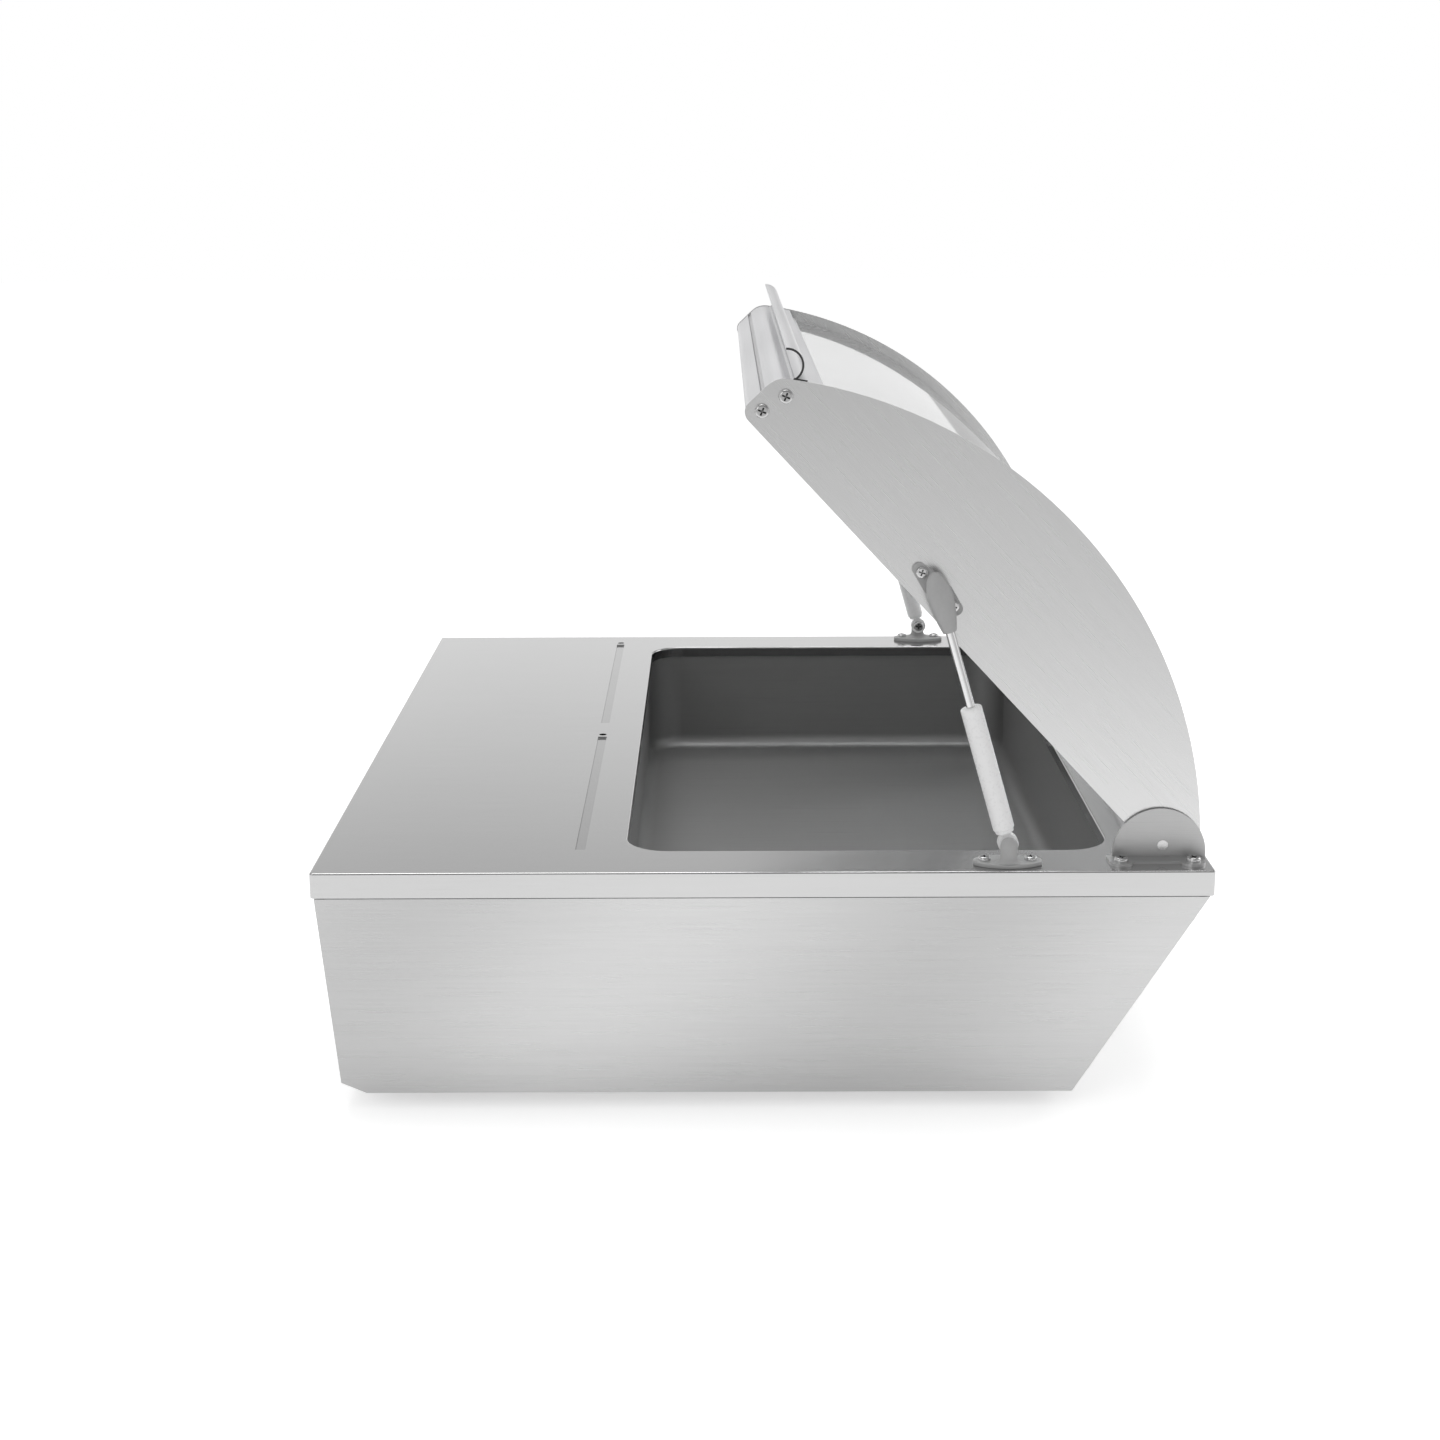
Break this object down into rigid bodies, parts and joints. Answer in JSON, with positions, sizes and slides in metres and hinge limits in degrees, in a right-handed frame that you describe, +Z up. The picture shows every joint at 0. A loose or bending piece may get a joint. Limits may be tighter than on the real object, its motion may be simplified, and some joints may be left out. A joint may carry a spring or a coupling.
{
  "type": "countertop well with lift-up cover",
  "caption": "Low stainless steel counter unit with a recessed well under a curved clear lid that lifts on gas struts.",
  "frame": {"origin": "centre of the outline on the surface it stands on, under its feet", "axes": "+X to the user's right, +Y to the rear where the lid is hinged, +Z up; the lid is stored open"},
  "size_m": [0.71, 0.6, 0.5102],
  "materials": {
    "brushed_steel": "fine brushed stainless steel",
    "tub_steel": "satin drawn stainless steel",
    "galvanised": "zinc plated",
    "insulation_foam": "rigid foam",
    "foot_rubber": "matt",
    "screw_steel": "bright plated",
    "clear_window": "clear gloss",
    "satin_aluminium": "satin anodised",
    "bush_nylon": "natural nylon",
    "strut_paint": "smooth light grey",
    "rod_chrome": "ground and polished",
    "fitting_grey": "satin grey"
  },
  "bodies": {
    "base": {"worktop": "brushed_steel", "well_tub": "tub_steel", "tub_insulation": "insulation_foam", "front_panel": "brushed_steel", "base_plate": "brushed_steel", "rear_panel": "brushed_steel", "casing_screws": "screw_steel", "support_frame": "galvanised", "front_rail": "galvanised", "foot_screws": "screw_steel", "hinge_bracket_screws": "screw_steel", "strut_foot_screws": "screw_steel", "foot_front_left": "foot_rubber", "foot_front_right": "foot_rubber", "foot_rear_left": "foot_rubber", "foot_rear_right": "foot_rubber", "side_panel_left": "brushed_steel", "side_panel_right": "brushed_steel", "hinge_backing_left": "galvanised", "hinge_backing_right": "galvanised", "strut_backing_left": "galvanised", "strut_backing_right": "galvanised", "hinge_bracket_left": "brushed_steel", "hinge_bracket_right": "brushed_steel", "hinge_pin_left": "screw_steel", "hinge_pin_right": "screw_steel", "strut_foot_left": "fitting_grey", "strut_foot_right": "fitting_grey", "strut_pivot_screw_left": "screw_steel", "strut_pivot_screw_right": "screw_steel"},
    "lid": {"lid_window": "clear_window", "lid_front_profile": "satin_aluminium", "lid_grip": "satin_aluminium", "lid_rear_bar": "satin_aluminium", "lid_front_screws": "screw_steel", "lid_rear_screws": "screw_steel", "stud_plate_screws": "screw_steel", "lid_side_left": "brushed_steel", "lid_side_right": "brushed_steel", "window_ledge_left": "satin_aluminium", "window_ledge_right": "satin_aluminium", "hinge_bush_left": "bush_nylon", "hinge_bush_right": "bush_nylon", "stud_plate_left": "fitting_grey", "stud_plate_right": "fitting_grey"},
    "strut_left": {"strut_eye_left": "fitting_grey", "strut_tube_left": "strut_paint", "strut_collar_left": "strut_paint"},
    "rod_left": {"strut_rod_left": "rod_chrome", "strut_piston_left": "bush_nylon", "strut_boot_left": "fitting_grey"},
    "strut_right": {"strut_eye_right": "fitting_grey", "strut_tube_right": "strut_paint", "strut_collar_right": "strut_paint"},
    "rod_right": {"strut_rod_right": "rod_chrome", "strut_piston_right": "bush_nylon", "strut_boot_right": "fitting_grey"}
  },
  "joints": [
    {"name": "lid_hinge", "type": "hinge", "parent": "base", "child": "lid", "pos_m": [0, 0.269, 0.1795], "axis": [1, 0, 0], "range_deg": [0, 46.9], "stiffness_Nm_per_rad": 3, "springref_deg": -148.97},
    {"name": "strut_swing_left", "type": "hinge", "parent": "base", "child": "strut_left", "pos_m": [-0.3375, 0.1639, 0.1845], "axis": [1, 0, 0], "range_deg": [0, 73.03]},
    {"name": "rod_slide_left", "type": "slide", "parent": "strut_left", "child": "rod_left", "axis": [0, -0.28, 0.96], "range_m": [-0.04875, 0]},
    {"name": "strut_swing_right", "type": "hinge", "parent": "base", "child": "strut_right", "pos_m": [0.3375, 0.1639, 0.1845], "axis": [1, 0, 0], "range_deg": [0, 73.03]},
    {"name": "rod_slide_right", "type": "slide", "parent": "strut_right", "child": "rod_right", "axis": [0, -0.28, 0.96], "range_m": [-0.04875, 0]}
  ],
  "couplings": [
    {"joint": "strut_swing_left", "follows": "lid_hinge", "ratio": 1.5561},
    {"joint": "rod_slide_left", "follows": "lid_hinge", "m_per_rad": -0.05952},
    {"joint": "strut_swing_right", "follows": "lid_hinge", "ratio": 1.5561},
    {"joint": "rod_slide_right", "follows": "lid_hinge", "m_per_rad": -0.05952}
  ]
}
